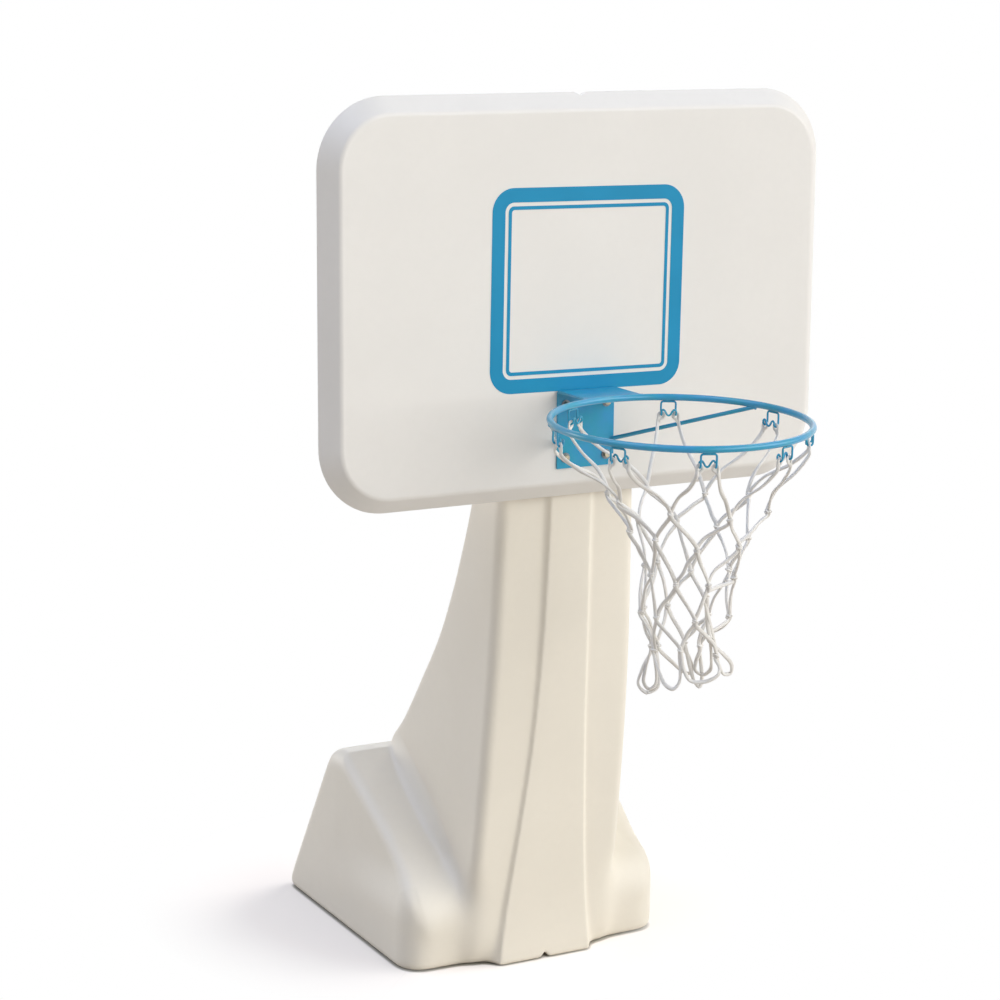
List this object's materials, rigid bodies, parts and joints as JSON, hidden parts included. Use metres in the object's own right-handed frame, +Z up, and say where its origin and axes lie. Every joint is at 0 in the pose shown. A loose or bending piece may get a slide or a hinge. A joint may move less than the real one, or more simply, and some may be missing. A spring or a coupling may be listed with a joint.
{
  "type": "poolside basketball hoop",
  "caption": "Free-standing poolside basketball hoop: water-filled moulded base with a leaning column, white backboard, blue steel rim and knotted cord net.",
  "frame": {"origin": "on the deck plane, under the middle of the foot", "axes": "+Z up, -Y the way the hoop faces over the water, +X to the right as seen from the front"},
  "size_m": [1.078, 1.3684, 1.7525],
  "materials": {
    "cream_shell": "moulded polyethylene, fine satin",
    "white_board": "moulded polyethylene, fine satin",
    "target_print": "screen-printed ink film",
    "blue_steel": "powder-coated steel, semi-gloss",
    "white_cord": "braided polyester cord",
    "seal_rubber": "moulded rubber",
    "grey_cap": "moulded, fine satin",
    "zinc_steel": "zinc plated",
    "brass": "yellow zinc and brass, slightly dull"
  },
  "bodies": {
    "hoop": {"base_shell": "cream_shell", "backboard": "white_board", "target_band": "target_print", "target_line": "target_print", "rim_ring": "blue_steel", "rim_bracket": "blue_steel", "brace_left": "blue_steel", "brace_right": "blue_steel", "net": "white_cord", "net_hook_1": "blue_steel", "net_hook_2": "blue_steel", "net_hook_3": "blue_steel", "net_hook_4": "blue_steel", "net_hook_5": "blue_steel", "net_hook_6": "blue_steel", "net_hook_7": "blue_steel", "net_hook_8": "blue_steel", "bolt_washer_1": "zinc_steel", "mounting_bolt_1": "brass", "threaded_insert_1": "brass", "bolt_washer_2": "zinc_steel", "mounting_bolt_2": "brass", "threaded_insert_2": "brass", "bolt_washer_3": "zinc_steel", "mounting_bolt_3": "brass", "threaded_insert_3": "brass", "bolt_washer_4": "zinc_steel", "mounting_bolt_4": "brass", "threaded_insert_4": "brass"},
    "fill_seal": {"fill_gasket": "seal_rubber"},
    "fill_screw": {"fill_cap": "grey_cap"},
    "drain_seal": {"drain_gasket": "seal_rubber"},
    "drain_screw": {"drain_plug": "grey_cap"}
  },
  "joints": [
    {"name": "fill_lift", "type": "slide", "parent": "hoop", "child": "fill_seal", "axis": [0, 0, 1], "range_m": [0, 0.0121]},
    {"name": "fill_turn", "type": "hinge", "parent": "fill_seal", "child": "fill_screw", "pos_m": [0, -0.3817, 1.355], "axis": [0, 0, 1], "range_deg": [0, 1080]},
    {"name": "drain_pull", "type": "slide", "parent": "hoop", "child": "drain_seal", "axis": [0, 0.84, 0.5426], "range_m": [0, 0.0121]},
    {"name": "drain_turn", "type": "hinge", "parent": "drain_seal", "child": "drain_screw", "pos_m": [0, 0.26531, 0.063], "axis": [0, 0.84, 0.5426], "range_deg": [0, 1080]}
  ],
  "couplings": [
    {"joint": "fill_lift", "follows": "fill_turn", "m_per_rad": 0.00063662},
    {"joint": "drain_pull", "follows": "drain_turn", "m_per_rad": 0.00063662}
  ]
}
